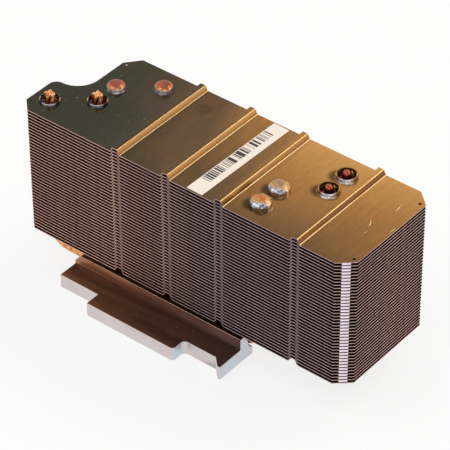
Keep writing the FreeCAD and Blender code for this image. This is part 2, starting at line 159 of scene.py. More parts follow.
class PipeSizes(bpy.types.PropertyGroup):
    """Sizes and colours of the heat pipes, their collars and their solder."""
    bend_radius: length("Bend radius", "Centreline radius of a pipe's bends", 7.0)
    star_width: length("Star width", "Width of a star-shaped crimped tip", 3.8)
    nub_width: length("Nub width", "Width of a round crimped tip", 2.7)
    nub_height: length("Nub height", "Height of a round crimped tip above the top fin", 2.4)
    crimp_depth: length("Crimp depth", "Depth below the top fin where a crimped end narrows", 0.9)
    dome_height: length("Dome height", "Height of a domed end above the top fin", 2.5)
    dome_crown: length("Dome crown", "Height of the rounded part of a domed end", 1.6)
    collar_wall: length("Collar wall", "Wall of the collars drawn up round the pipes", 0.35)
    left_collar: length("Left collars", "Height of the left collars above the top fin", 0.8)
    right_collar: length("Right collars", "Height of the right collars above the top fin", 1.2)
    left_flare: length("Left flare", "How much wider the left collars are at their foot", 0.05)
    right_flare: length("Right flare", "How much wider the right collars are at their foot", 0.55)
    solder_ring: length("Solder ring", "Height of the solder round a domed end", 1.3)
    cap_radius: length("Cap radius", "Radius of the rough solder caps", 3.65)
    cap_height: length("Cap height", "Height of the rough solder caps", 2.8)
    cap_skirt: length("Cap skirt", "Height of the upright skirt of a solder cap", 0.8)
    sides: IntProperty(name="Sides", description="Facets round a pipe", default=48, min=12, max=96)
    copper: colour("Copper", "bare copper", (0.90, 0.38, 0.15))
    tinted: colour("Heat tint", "copper reddened by heat", (0.30, 0.065, 0.028))
    solder: colour("Solder", "the solder", (0.74, 0.74, 0.78))
    dross: colour("Dross", "the dull skin on the solder", (0.16, 0.15, 0.17))
    flux: colour("Flux", "burnt flux on the solder", (0.72, 0.42, 0.17))
    # The left collars' dark tone is a painted reflection of the dark plate around them.
    dark_collar_reflection: colour("Oxide", "the darkened left collars", (0.055, 0.048, 0.045))
    red_crown: colour("Red crown", "the crown of the front solder cap", (0.58, 0.17, 0.045))
    tan_crown: colour("Tan crown", "the crown of the back solder cap", (0.40, 0.22, 0.14))


class BaseSizes(bpy.types.PropertyGroup):
    """Edges and colours of the base block."""
    edge_break: length("Edge break", "Width of the broken edges", 0.22)
    side_tone: colour("Side tone", "the milled sides", (0.72, 0.64, 0.63))
    end_tone: colour("End tone", "the sawn ends", (0.62, 0.65, 0.71))
    # The upper faces' tones are painted shade and painted reflection of the fins above them.
    top_tone: colour("Top tone", "the heat-browned upper faces at their middle", (0.22, 0.100, 0.062))
    top_left: colour("Browned top, left", "the base's upper faces at the left", (0.44, 0.21, 0.11))
    top_right: colour("Browned top, right", "the base's upper faces at the right", (0.13, 0.068, 0.066))
    # A painted highlight along the upper edges, in orange.
    edge_highlight_tone: colour("Worn edges", "the worn upper edges", (0.90, 0.50, 0.33))
    edge_highlight_lines: colour("Worn edge lines", "the lines along the worn edges", (0.74, 0.48, 0.40))
    # The ridge's sloping foot is near-black, darker than the other upper faces.
    corner_tone: colour("Stained corner", "the sloping foot of the ridge", (0.070, 0.034, 0.028))
    corner_lines: colour("Stained corner lines", "the lines along the ridge's foot", (0.030, 0.016, 0.014))


class LabelSizes(bpy.types.PropertyGroup):
    """The label strip and its plain bars."""
    width: length("Width", "Width of the strip", 6.2)
    end_gap: length("End gap", "How much shorter the strip is than its place, at each end", 0.08)
    skew: swivel("Skew", "How far the strip was stuck on out of square", 1.04)
    bar_pitch: length("Bar pitch", "Narrowest bar", 0.28)
    bar_start: fraction("Bar start", "Where the bars start along the strip", 0.155)
    bar_end: fraction("Bar end", "Where the bars end along the strip", 0.885)
    bar_low: fraction("Bar foot", "Where the bars start across the strip", 0.04)
    bar_high: fraction("Bar top", "Where the bars end across the strip", 0.62)
    bare: fraction("Bare paper", "Share of the bars' places left as bare paper", 0.46)
    paper: colour("Paper", "the label's paper", (0.95, 0.84, 0.74))
    ink: colour("Ink", "the bars", (0.050, 0.026, 0.026))


class StageSizes(bpy.types.PropertyGroup):
    """Camera, floor and lights."""
    distance: FloatProperty(name="Camera distance", description="Camera to the point it looks at",
                            default=0.88, min=0.1, unit="LENGTH")
    azimuth: swivel("Camera azimuth", "Turn of the camera about Z, from the front", 38.98)
    elevation: swivel("Camera elevation", "Height of the camera above the floor", 38.84)
    roll: swivel("Camera roll", "Turn of the camera about its own axis", -0.28)
    lens: FloatProperty(name="Lens", description="Focal length in millimetres on a 36 mm sensor",
                        default=223.0, min=10.0)
    floor: colour("Floor", "the floor", (0.95, 0.95, 0.95))


# Shader helpers ------------------------------------------------------------------------------------

def rgba(tone):
    """A colour, or a grey given as one number, with full alpha."""
    return (*tuple(tone)[:3], 1.0) if hasattr(tone, "__len__") else (tone, tone, tone, 1.0)


def dim(tone, strength):
    """A darker tone of a colour."""
    return [part * strength for part in tone]


class Shader:
    """A finish under construction, with short calls for the nodes it needs."""

    def __init__(self, name, library="materials", surface="Principled BSDF"):
        self.owner = getattr(bpy.data, library).new(name)
        self.owner.use_nodes = True
        self.nodes = self.owner.node_tree.nodes
        self.links = self.owner.node_tree.links
        self.surface = self.nodes[surface]

    def node(self, kind, settings=None, **inputs):
        """A new node with its settings and inputs, where an input is a value or another's output."""
        item = self.nodes.new(kind)
        for key, value in (settings or {}).items():
            setattr(item, key, value)
        for key, value in inputs.items():
            self.feed(item, key.replace("_", " "), value)
        return item

    def feed(self, item, socket, value):
        """Set or link one input, given by its name or by i and its number."""
        numbered = socket[0] == "i" and socket[1:].isdigit()
        target = item.inputs[int(socket[1:]) if numbered else socket]
        if isinstance(value, bpy.types.NodeSocket):
            self.links.new(value, target)
        else:
            target.default_value = rgba(value) if target.type == "RGBA" else value

    def place(self):
        """Object coordinates, which are the row's own."""
        return self.node("ShaderNodeTexCoord").outputs["Object"]

    def axis(self, vector, name):
        """One part of a vector."""
        return self.node("ShaderNodeSeparateXYZ", Vector=vector).outputs[name]

    def at(self, name):
        """A point's own X, Y or Z."""
        return self.axis(self.place(), name)

    def lean(self, name):
        """How far the surface faces along an axis, from -1 to 1."""
        return self.axis(self.node("ShaderNodeTexCoord").outputs["Normal"], name)

    def spread(self, value, low, high, new_low=0.0, new_high=1.0):
        """A value mapped from one range to another."""
        item = self.node("ShaderNodeMapRange", i0=value, i1=low, i2=high, i3=new_low, i4=new_high)
        return item.outputs[0]

    def noise(self, vector, scale, detail=3.0, roughness=0.5):
        """Soft noise from 0 to 1."""
        item = self.node("ShaderNodeTexNoise", Vector=vector, Scale=scale, Detail=detail, Roughness=roughness)
        return item.outputs["Fac"]

    def patches(self, scale, detail=3.0, roughness=0.5):
        """Noise from 0 to 1 of even grain."""
        return self.noise(self.place(), scale, detail, roughness)

    def streaks(self, scale, detail=3.0, roughness=0.5):
        """Noise from 0 to 1 whose grain has its own fineness along each axis."""
        stretched = self.node("ShaderNodeMapping", Vector=self.place(), Scale=scale).outputs["Vector"]
        return self.noise(stretched, 1.0, detail, roughness)

    def ramp(self, factor, stops):
        """Colours along a factor, as pairs of place and colour."""
        item = self.node("ShaderNodeValToRGB", Fac=factor)
        while len(item.color_ramp.elements) < len(stops):
            item.color_ramp.elements.new(0.5)
        for element, (spot, tone) in zip(item.color_ramp.elements, stops):
            element.position = spot
            element.color = rgba(tone)
        return item.outputs["Color"]

    def mix(self, factor, first, second, blend="MIX"):
        """Two colours mixed by a factor."""
        item = self.node("ShaderNodeMix", {"data_type": "RGBA", "blend_type": blend},
                         i0=factor, i6=first, i7=second)
        return item.outputs[2]

    def fade(self, value, low, high, first, second, depth=1.0):
        """The first colour while a value is low, going over into the second as it rises."""
        return self.mix(self.spread(value, low, high, 0.0, depth), first, second)

    def maths(self, kind, first, *others):
        """One operation over some values, worked from left to right."""
        for second in others or (0.0,):
            first = self.node("ShaderNodeMath", {"operation": kind}, i0=first, i1=second).outputs[0]
        return first

    def vectors(self, kind, first, second=(0.0, 0.0, 0.0)):
        """One operation on two vectors, which gives a number or a vector."""
        item = self.node("ShaderNodeVectorMath", {"operation": kind}, i0=first, i1=second)
        return item.outputs["Value" if kind in ("DISTANCE", "DOT_PRODUCT") else "Vector"]

    def facing(self, x, y):
        """How far a point of a turned piece lies towards a side, from -1 to 1."""
        flat = self.vectors("MULTIPLY", self.place(), (1.0, 1.0, 0.0))
        return self.vectors("DOT_PRODUCT", self.vectors("NORMALIZE", flat), (x, y, 0.0))

    def bump(self, height, distance, strength=1.0):
        """A bump fed to the surface's normal, its distance in millimetres."""
        item = self.node("ShaderNodeBump", Height=height, Distance=distance * MM, Strength=strength)
        self.links.new(item.outputs["Normal"], self.surface.inputs["Normal"])

    def finish(self, metallic, roughness, tone):
        """Set the surface's own sockets and hand back the material."""
        self.feed(self.surface, "Metallic", metallic)
        self.feed(self.surface, "Roughness", roughness)
        self.feed(self.surface, "Base Color", tone)
        return self.owner


# Finishes ------------------------------------------------------------------------------------------

# How the top fin's colour runs along X, and how much of it swings from front to back:
# a painted reflection, dark olive at the left and gold at the back right.
REFLECTION_ALONG = [(0.0, 0.20), (0.19, 0.215), (0.30, 0.26), (0.36, 0.32), (0.414, 0.40),
         (0.50, 0.55), (0.60, 0.555), (0.65, 0.735), (0.85, 0.745), (1.0, 0.71)]
REFLECTION_SWING = [(0.0, 0.0), (0.26, 0.05), (0.36, 0.10), (0.414, 0.28), (0.50, 0.38),
         (0.60, 0.28), (0.65, 0.49), (0.85, 0.52), (1.0, 0.40)]


def rolled_plate(sizes, low, high, smudge_and_shadows):
    """The top fin's face: rolled sheet with a painted reflection that runs from olive to gold, a handling
    smudge, and a painted shadow beside each right pipe end.
    """
    shader = Shader("rolled_plate")
    along = shader.spread(shader.at("X"), low.x, high.x)
    back = shader.spread(shader.at("Y"), low.y, high.y, -0.5, 0.5)
    cloud = shader.spread(shader.patches(36.0, 4.0, 0.55), 0.25, 0.75, -0.03, 0.03)
    swing = shader.maths("MULTIPLY", back, shader.ramp(along, REFLECTION_SWING))
    painted_reflection = shader.maths("ADD", shader.ramp(along, REFLECTION_ALONG), swing, cloud)
    tone = shader.ramp(painted_reflection, [(0.0, sizes.left_tone), (0.21, sizes.left_tone), (0.34, sizes.middle_tone),
                              (0.45, sizes.middle_tone), (0.78, sizes.right_tone), (0.98, sizes.bright_tone)])
    # Each spot darkens the plate: a handling smudge, and a painted shadow beside each right pipe end.
    for x, y, radius, depth in smudge_and_shadows:
        away = shader.vectors("DISTANCE", shader.place(), (x, y, 0.0))
        dark = shader.spread(away, radius * 0.60, radius, depth, 0.0)
        tone = shader.mix(dark, tone, dim(sizes.middle_tone, 0.22))
    streaks = shader.streaks((700.0, 150.0, 300.0), 5.0, 0.65)
    tone = shader.mix(0.22, tone, shader.ramp(streaks, [(0.3, 0.25), (0.7, 0.75)]), "OVERLAY")
    grain = shader.patches(2400.0, 2.0, 0.6)
    tone = shader.mix(0.16, tone, shader.ramp(grain, [(0.3, 0.2), (0.7, 0.8)]), "OVERLAY")
    tone = shader.fade(shader.patches(1500.0, 1.0, 0.4), 0.75, 0.80, tone, (0.50, 0.38, 0.25))
    shader.bump(grain, 0.008, 0.4)
    return shader.finish(1.0, shader.spread(shader.patches(160.0), 0.2, 0.8, 0.13, 0.22), tone)


def inner_plate(sizes, lowest):
    """The faces of a fin inside the stack, near-black as painted shade between the fins; the lowest one is
    brown sheet underneath.
    """
    name = "lowest_plate" if lowest else "inner_plate"
    if name in bpy.data.materials:
        return bpy.data.materials[name]
    shader = Shader(name)
    streaks = shader.streaks((700.0, 60.0, 300.0), 4.0)
    tone = shader.fade(streaks, 0.3, 0.7, sizes.inner_shade, dim(sizes.inner_shade, 0.6))
    if lowest:
        under = shader.fade(streaks, 0.3, 0.7, sizes.middle_tone, dim(sizes.middle_tone, 0.7))
        tone = shader.fade(shader.lean("Z"), -0.5, 0.0, under, tone)
    return shader.finish(1.0, 0.38, tone)


def from_left_to_right(shader, low, high, first, second, start=0.25, end=0.62):
    """A colour that goes over into another along X, between two shares of the length."""
    return shader.ramp(shader.spread(shader.at("X"), low.x, high.x), [(start, first), (end, second)])


def sheared_edge(name, sizes, low, high, lit_share):
    """The cut edges of the sheet, bright and slightly torn. Their tone, pinker at the left than at the right
    and paler where they face right, is painted light; a share below one dims it into a copy with painted
    shade.
    """
    shader = Shader(name)
    tone = from_left_to_right(shader, low, high, dim(sizes.left_edge, lit_share), dim(sizes.right_edge, lit_share))
    tone = shader.fade(shader.lean("X"), 0.3, 0.8, tone, dim(sizes.side_edge_light, lit_share))
    tear = shader.streaks((900.0, 900.0, 2500.0), roughness=0.6)
    tone = shader.fade(tear, 0.35, 0.75, tone, (0.20, 0.13, 0.12), 0.6)
    shader.bump(tear, 0.02, 0.6)
    return shader.finish(0.8, 0.45, tone)


def painted_flank_sheen(sizes, low, high):
    """The right flanks of the pressed ribs with a painted sheen, and painted shade darkening them towards
    their foot.
    """
    shader = Shader("painted_flank_sheen")
    tone = from_left_to_right(shader, low, high, sizes.left_flank, sizes.right_flank, 0.55, 0.80)
    # Painted shade: a darker tone towards the flank's foot.
    foot = from_left_to_right(shader, low, high, dim(sizes.left_flank, 0.55), dim(sizes.right_flank, 0.75),
                              0.55, 0.80)
    rise = high.z - top_face()
    tone = shader.fade(shader.at("Z"), 0.25 * rise, 0.75 * rise, foot, tone)
    drawn = shader.streaks((1200.0, 40.0, 1200.0), 4.0, 0.6)
    return shader.finish(1.0, 0.26, shader.fade(drawn, 0.3, 0.75, tone, (0.16, 0.08, 0.04), 0.35))


def painted_fold_highlight(sizes, low, high):
    """The rounded folds of the ribs with a painted highlight, brightest at the right."""
    shader = Shader("painted_fold_highlight")
    bright = from_left_to_right(shader, low, high, dim(sizes.fold_highlight, 0.62), sizes.fold_highlight)
    wear = shader.streaks((300.0, 90.0, 300.0), 4.0, 0.6)
    return shader.finish(1.0, 0.30, shader.fade(wear, 0.35, 0.75, bright, (0.42, 0.24, 0.10), 0.5))


def folded_tab(sizes):
    """The folded spacer tabs, painted near-white with a lilac cast: painted light."""
    shader = Shader("folded_tab")
    drawn = shader.streaks((500.0, 500.0, 1800.0))
    return shader.finish(1.0, 0.33, shader.fade(drawn, 0.35, 0.8, sizes.tab_lit_tone, dim(sizes.tab_lit_tone, 0.78)))


def drawn_copper(sizes, face):
    """Copper tube, bare below and reddened by heat on its domed top."""
    shader = Shader("drawn_copper")
    patches = shader.patches(420.0, 3.0, 0.55)
    below = shader.fade(patches, 0.42, 0.72, sizes.copper, sizes.tinted)
    upward = shader.maths("ADD", shader.lean("Z"), shader.spread(patches, 0.3, 0.7, -0.14, 0.14))
    dome = shader.ramp(upward, [(0.35, sizes.copper), (0.62, dim(sizes.copper, 0.62)),
                                (0.86, (0.46, 0.135, 0.075)), (1.0, (0.30, 0.085, 0.055))])
    tone = shader.fade(shader.at("Z"), face + 0.4 * MM, face + 0.6 * MM, below, dome)
    shader.bump(shader.patches(2600.0, 2.0), 0.02, 0.4)
    return shader.finish(1.0, shader.spread(patches, 0.3, 0.7, 0.15, 0.26), tone)


def crimped_copper(sizes, face):
    """A star-shaped crimped tip: random patches from heat-reddened to bare copper with a pale painted
    highlight, dark below the top fin's face as painted shade down in the collar.
    """
    shader = Shader("crimped_copper")
    patches = shader.patches(700.0, 2.0)
    # The palest stop is a painted highlight, laid in random patches.
    tone = shader.ramp(patches, [(0.28, sizes.tinted), (0.46, sizes.copper), (0.74, (0.96, 0.52, 0.24))])
    # Dark below the top fin's face, down in the collar: painted shade.
    tone = shader.fade(shader.at("Z"), face - 0.2 * MM, face + 0.7 * MM, (0.11, 0.055, 0.05), tone)
    shader.bump(patches, 0.10, 0.5)
    return shader.finish(1.0, 0.18, tone)


def browned_copper(sizes, face):
    """A round crimped tip, dark red, above a purple-brown neck down in the collar that is painted shade."""
    shader = Shader("browned_copper")
    patches = shader.patches(600.0, 3.0, 0.6)
    tone = shader.fade(patches, 0.35, 0.7, (0.50, 0.13, 0.07), sizes.tinted)
    # Purple-brown below the top fin's face, down in the collar: painted shade.
    tone = shader.fade(shader.at("Z"), face - 0.5 * MM, face + 0.4 * MM, (0.21, 0.085, 0.10), tone)
    shader.bump(patches, 0.05, 0.5)
    return shader.finish(1.0, 0.20, tone)


def tinned_collar(sizes, name, plain, sides):
    """A drawn collar: solder silver on the side towards the main light as painted light, painted glints of
    copper or gold at its sides, and a plain tone elsewhere.
    """
    shader = Shader(name)
    wrinkles = shader.patches(1300.0, 4.0, 0.65)
    ragged = shader.spread(wrinkles, 0.3, 0.7, -0.06, 0.06)
    metal = shader.fade(wrinkles, 0.48, 0.74, sizes.solder, sizes.dross)
    # Solder silver on the side towards the main light: painted light.
    front = shader.maths("ADD", shader.facing(*LIT_SIDE), ragged)
    side = shader.maths("ADD", shader.maths("ABSOLUTE", shader.facing(0.85, 0.53)), ragged)
    # Painted glints of the side colour at both sides.
    tone = shader.fade(side, 0.94, 0.99, plain, sides)
    shader.bump(wrinkles, 0.10, 0.6)
    return shader.finish(1.0, 0.36, shader.fade(front, 0.70, 0.86, tone, metal))


def bright_solder(sizes):
    """Silver solder, wrinkled where it froze, and dark grey on the side away from the main light as painted
    shade.
    """
    shader = Shader("bright_solder")
    wrinkles = shader.patches(1100.0, 4.0, 0.65)
    tone = shader.fade(wrinkles, 0.46, 0.70, sizes.solder, sizes.dross)
    shader.bump(wrinkles, 0.12, 0.6)
    # Painted shade: dark grey on the side away from the main light.
    tone = shader.fade(shader.facing(*LIT_SIDE), 0.25, 0.90, (0.27, 0.24, 0.26), tone)
    return shader.finish(1.0, 0.34, tone)


def fluxed_solder(sizes, name, crown):
    """A rough solder cap: silver at the front, burnt flux at the back and a coloured crown."""
    shader = Shader(name)
    wrinkles = shader.patches(1500.0, 4.0, 0.65)
    height = shader.spread(shader.at("Z"), 0.0, sizes.cap_height)
    ragged = shader.spread(shader.patches(420.0, 4.0, 0.62), 0.3, 0.7, -0.28, 0.28)
    front = shader.maths("MULTIPLY", shader.facing(0.15, -0.99), shader.spread(height, 0.55, 1.0, 1.0, 0.15))
    silver = shader.maths("SUBTRACT", front, shader.maths("MULTIPLY", height, 0.35))
    silver = shader.maths("ADD", silver, ragged)
    metal = shader.fade(wrinkles, 0.40, 0.62, sizes.solder, sizes.dross)
    warm = shader.fade(wrinkles, 0.48, 0.72, sizes.flux, dim(sizes.flux, 0.45))
    top = shader.maths("ADD", height, shader.maths("MULTIPLY", ragged, 0.6))
    warm = shader.fade(top, 0.80, 0.98, warm, crown)
    shader.bump(wrinkles, 0.16, 0.8)
    return shader.finish(1.0, 0.25, shader.fade(silver, -0.05, 0.15, warm, metal))


def milled_aluminium(name, plain, lines_tone):
    """Bare aluminium with faint milling lines."""
    shader = Shader(name)
    lines = shader.streaks((90.0, 1600.0, 1600.0), 4.0, 0.6)
    cloud = shader.patches(90.0)
    tone = shader.fade(lines, 0.3, 0.7, plain, lines_tone, 0.3)
    tone = shader.fade(cloud, 0.35, 0.7, tone, lines_tone, 0.3)
    shader.bump(lines, 0.01, 0.5)
    return shader.finish(1.0, shader.spread(cloud, 0.3, 0.7, 0.26, 0.36), tone)


def shaded_upper_faces(sizes, low, high):
    """The base's upper faces: painted shade and painted reflection of the fins above them, lighter at the
    left and darkest at the right.
    """
    shader = Shader("shaded_upper_faces")
    grain = shader.patches(1400.0, 3.0, 0.6)
    lines = shader.streaks((120.0, 900.0, 900.0), 4.0, 0.6)
    along = shader.spread(shader.at("X"), low.x, high.x)
    tone = shader.ramp(along, [(0.0, sizes.top_left), (0.5, sizes.top_tone), (1.0, sizes.top_right)])
    tone = shader.fade(lines, 0.3, 0.7, tone, dim(sizes.top_tone, 0.45), 0.35)
    tone = shader.fade(grain, 0.62, 0.74, tone, (0.55, 0.30, 0.18), 0.5)
    shader.bump(grain, 0.01, 0.5)
    return shader.finish(0.9, 0.34, tone)


def printed_paper(sizes, low, high):
    """The label: matt paper with plain bars across one part of its width."""
    shader = Shader("printed_paper")
    across = shader.spread(shader.at("X"), low.x, high.x)
    along = shader.spread(shader.at("Y"), low.y, high.y)
    step = shader.maths("FLOOR", shader.maths("DIVIDE", shader.at("Y"), sizes.bar_pitch))
    chance = shader.node("ShaderNodeTexWhiteNoise", {"noise_dimensions": "1D"}, W=step).outputs["Value"]
    bars = shader.maths("MULTIPLY", shader.maths("GREATER_THAN", chance, sizes.bare),
                        shader.maths("GREATER_THAN", along, sizes.bar_start),
                        shader.maths("LESS_THAN", along, sizes.bar_end),
                        shader.maths("LESS_THAN", across, sizes.bar_high),
                        shader.maths("GREATER_THAN", across, sizes.bar_low))
    fibres = shader.patches(2500.0)
    paper = shader.fade(fibres, 0.3, 0.8, sizes.paper, dim(sizes.paper, 0.85), 0.25)
    shader.bump(fibres, 0.01, 0.4)
    return shader.finish(0.0, 0.55, shader.mix(bars, paper, sizes.ink))


def floor_paint(tone):
    """The plain pale floor, lifted towards white where it is seen, with the part's shadow kept."""
    shader = Shader("floor_paint")
    shader.finish(0.0, 0.9, tone)
    ray = shader.node("ShaderNodeLightPath").outputs
    seen = shader.maths("MAXIMUM", ray["Is Camera Ray"], ray["Is Glossy Ray"])
    white = shader.node("ShaderNodeEmission", Strength=1.0).outputs["Emission"]
    both = shader.node("ShaderNodeMixShader", i0=shader.maths("MULTIPLY", seen, 0.8),
                       i1=shader.surface.outputs["BSDF"], i2=white)
    shader.feed(shader.nodes["Material Output"], "Surface", both.outputs["Shader"])
    return shader.owner


# Mesh helpers --------------------------------------------------------------------------------------

# Fineness of the lumps on a turned piece, and the step between the noise of one piece and the next.
LUMP_SCALE = 650.0
SEED_STEP = 7.3


def linked(name, data):
    """An object for some data, linked to the scene."""
    item = bpy.data.objects.new(name, data)
    bpy.context.collection.objects.link(item)
    return item


def add_object(name, mesh, materials):
    """Link a mesh as an object with its finishes, riding on the one body."""
    for index, material in enumerate(materials):
        if index < len(mesh.materials):
            mesh.materials[index] = material
        else:
            mesh.materials.append(material)
    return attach(linked(name, mesh), BODY)


def smooth(mesh, sharpest):
    """Shade smooth, with sharp edges where faces meet at more than an angle in degrees."""
    mesh.polygons.foreach_set("use_smooth", [True] * len(mesh.polygons))
    mesh.set_sharp_from_angle(angle=math.radians(sharpest))


def apply_modifiers(item):
    """Replace an object's mesh by what its modifiers make of it."""
    graph = bpy.context.evaluated_depsgraph_get()
    graph.update()
    mesh = bpy.data.meshes.new_from_object(item.evaluated_get(graph))
    item.modifiers.clear()
    item.data = mesh
    return mesh


def mesh_from(bm, name):
    """A mesh from a bmesh, which is freed."""
    mesh = bpy.data.meshes.new(name)
    bm.normal_update()
    bm.to_mesh(mesh)
    bm.free()
    return mesh


def shaded_mesh(bm, name, sharpest):
    """A smooth-shaded mesh from a closed bmesh, with its faces turned outwards."""
    bmesh.ops.recalc_face_normals(bm, faces=bm.faces[:])
    mesh = mesh_from(bm, name)
    smooth(mesh, sharpest)
    return mesh


def round_steps(count):
    """The angles of so many even steps round a full turn."""
    return [2 * math.pi * i / count for i in range(count)]


def arc(centre_x, centre_y, radius, start, end, steps):
    """Points along an arc, both ends included, with angles in degrees."""
    points = []
    for i in range(steps + 1):
        angle = math.radians(start + (end - start) * i / steps)
        points.append((centre_x + radius * math.cos(angle), centre_y + radius * math.sin(angle)))
    return points


def crown_profile(radius, foot, rise, fullness, tip, steps=12):
    """A rounded crown from its rim to a small tip, as (radius, height) points."""
    points = []
    for i in range(steps + 1):
        angle = math.radians(90 * i / steps)
        reach = math.cos(angle) ** fullness if i < steps else tip
        points.append((radius * reach, foot + math.sin(angle) * rise))
    return points


def skin_rings(bm, rings, capped=True):
    """Faces between closed rings of points with equal counts and, where capped, over both ends."""
    loops = [[bm.verts.new(point) for point in ring] for ring in rings]
    for first, second in zip(loops, loops[1:]):
        for i in range(len(first)):
            j = (i + 1) % len(first)
            bm.faces.new((first[i], first[j], second[j], second[i]))
    if capped:
        bm.faces.new(loops[0][::-1])
        bm.faces.new(loops[-1])


def skinned(name, rings, sharpest):
    """A smooth-shaded mesh over rings of points."""
    bm = bmesh.new()
    skin_rings(bm, rings)
    return shaded_mesh(bm, name, sharpest)


def lathe(name, profile, sides, lump, seed, closed=False):
    """A mesh turned about Z from (radius, height) points, roughened by lump."""
    bm = bmesh.new()
    rings = []
    for radius, height in profile:
        ring = []
        for angle in round_steps(sides):
            point = Vector((radius * math.cos(angle), radius * math.sin(angle), height))
            spot = point * LUMP_SCALE + Vector((seed * SEED_STEP, 0.0, 0.0))
            push = noise.fractal(spot, 1.0, 2.0, 3) * lump
            ring.append(point + Vector((math.cos(angle), math.sin(angle), 0.5)) * push)
        rings.append(ring)
    if closed:
        rings.append(rings[0])
    skin_rings(bm, rings, capped=not closed)
    bmesh.ops.remove_doubles(bm, verts=bm.verts[:], dist=1e-7)
    return shaded_mesh(bm, name, 50.0)


def drip(name, spots, width):
    """A thin run of metal along some spots, pointed at both ends."""
    rings = []
    for i, spot in enumerate(spots):
        reach = width * (1.0 if 0 < i < len(spots) - 1 else 0.25)
        rings.append([Vector(spot) + Vector((math.cos(a), 0.6 * math.cos(a), math.sin(a))) * reach
                      for a in round_steps(8)])
    return skinned(name, rings, 80.0)


# The pipes' places, read from the frame ------------------------------------------------------------

def pipe_radius():
    """Half a heat pipe's width."""
    low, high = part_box(PIPE_NODES[0])
    return (high.y - low.y) / 2


def top_face():
    """Height of the top fin's upper face, which the label lies on."""
    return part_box("label")[0].z


def pipe_legs():
    """Every pipe leg's axis, as (pipe number, end, X, Y)."""
    legs = []
    for number, node in enumerate(PIPE_NODES, start=1):
        low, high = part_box(node)
        y = (low.y + high.y) / 2
        legs.append((number, "left", low.x + pipe_radius(), y))
        legs.append((number, "right", high.x - pipe_radius(), y))
    return legs


# Fins ----------------------------------------------------------------------------------------------

# Chords in the rounded fold at each corner of a rib.
FOLD_STEPS = 4
# Chords round a pipe's hole and round a relief hole.
HOLE_STEPS = 28
RELIEF_STEPS = 16
# The lean towards X from which a face belongs to a fold, and the one from which to a flank.
FOLD_LEAN = 0.12
FLANK_LEAN = 0.80
# Where handling has darkened the top fin, and the painted shadow beside each right pipe end, measured
# from a right leg's axis: X, Y and radius in millimetres, and strength.
SMUDGE = (-6.8, 13.6, 3.4, 0.32)
RIGHT_END_SHADOW = (-2.1, -1.5, 3.9, 0.80)
# Fine scratches at the top fin's right end, as X and Y in millimetres.
SCRATCHES = (
    ((70.2, -2.0), (70.0, -0.8), (69.4, 0.6), (68.5, 1.6)),
    ((72.3, 8.2), (72.2, 11.0), (71.6, 14.0)),
    ((77.0, -1.1), (77.0, 1.4), (77.5, 3.4)),
    ((70.8, -6.0), (71.2, -4.4), (71.8, -3.7)),
)
SCRATCH_WIDTH = 0.09 * MM
SCRATCH_DEPTH = 0.03 * MM


def rib_places():
    """X of each rib's middle."""
    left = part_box("fin_01")[0].x
    return [left + reach * MM for reach in RIB_REACH]


def fin_plan(sizes):
    """The fin's outline seen from above."""
    low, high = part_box("fin_01")
    steps = sizes.arc_steps
    notch = low.x + sizes.notch_length
    tip = low.y + sizes.notch_front
    turn = low.x + sizes.tongue_radius
    bay_radius = sizes.notch_length - sizes.tongue_radius
    tongue = arc(turn, tip - sizes.tongue_radius, sizes.tongue_radius, 180, 90, steps)
    bay = arc(turn, tip + bay_radius, bay_radius, -90, 0, steps)
    return [
        (low.x + sizes.left_corner, low.y),
        (high.x - sizes.right_corner_x, low.y),
        (high.x, low.y + sizes.right_corner_y),
        (high.x, high.y - sizes.right_corner_y),
        (high.x - sizes.right_corner_x, high.y),
        (notch + sizes.notch_corner_x, high.y),
        (notch, high.y - sizes.notch_corner_y),
    ] + bay[::-1] + tongue[::-1][1:] + [(low.x, low.y + sizes.left_corner)]


def corner_cuts(sizes):
    """Both ends of each cut corner, going round so that the fin lies on the left."""
    low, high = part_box("fin_01")
    notch = low.x + sizes.notch_length
    pairs = (
        ((low.x, low.y + sizes.left_corner), (low.x + sizes.left_corner, low.y)),
        ((high.x - sizes.right_corner_x, low.y), (high.x, low.y + sizes.right_corner_y)),
        ((high.x, high.y - sizes.right_corner_y), (high.x - sizes.right_corner_x, high.y)),
        ((notch + sizes.notch_corner_x, high.y), (notch, high.y - sizes.notch_corner_y)),
    )
    return [(Vector((*first, 0.0)), Vector((*second, 0.0))) for first, second in pairs]


def fold_line(sizes, rise):
    """The sheet's upper face across the ribs, as (X, height) points with rounded folds."""
    slope = math.atan2(rise, (sizes.rib_foot - sizes.rib_crest) / 2)
    radius = sizes.fold_radius
    tangent = radius * math.tan(slope / 2)
    points = []
    for middle in rib_places():
        for side in (-1, 1):
            foot = Vector((middle + side * sizes.rib_foot / 2, 0.0))
            crest = Vector((middle + side * sizes.rib_crest / 2, rise))
            rounded = []
            for corner, way in ((foot, 1), (crest, -1)):
                centre = corner + Vector((way * side * tangent, way * radius))
                for i in range(FOLD_STEPS + 1):
                    turn = slope * i / FOLD_STEPS
                    rounded.append(centre - Vector((side * math.sin(turn), math.cos(turn))) * way * radius)
            points.extend(sorted(rounded, key=lambda spot: spot.x))
    return points


def height_at(x, points):
    """Height of the folded sheet at X."""
    for first, second in zip(points, points[1:]):
        if first.x <= x <= second.x:
            reach = (x - first.x) / max(second.x - first.x, 1e-9)
            return first.y + (second.y - first.y) * reach
    return 0.0


def ring_edges(bm, points):
    """A closed ring of edges."""
    verts = [bm.verts.new((x, y, 0.0)) for x, y in points]
    return [bm.edges.new((verts[i], verts[(i + 1) % len(verts)])) for i in range(len(verts))]


def circle_edges(bm, x, y, radius, steps):
    """A circle of edges."""
    return ring_edges(bm, arc(x, y, radius, 0, 360, steps)[:-1])


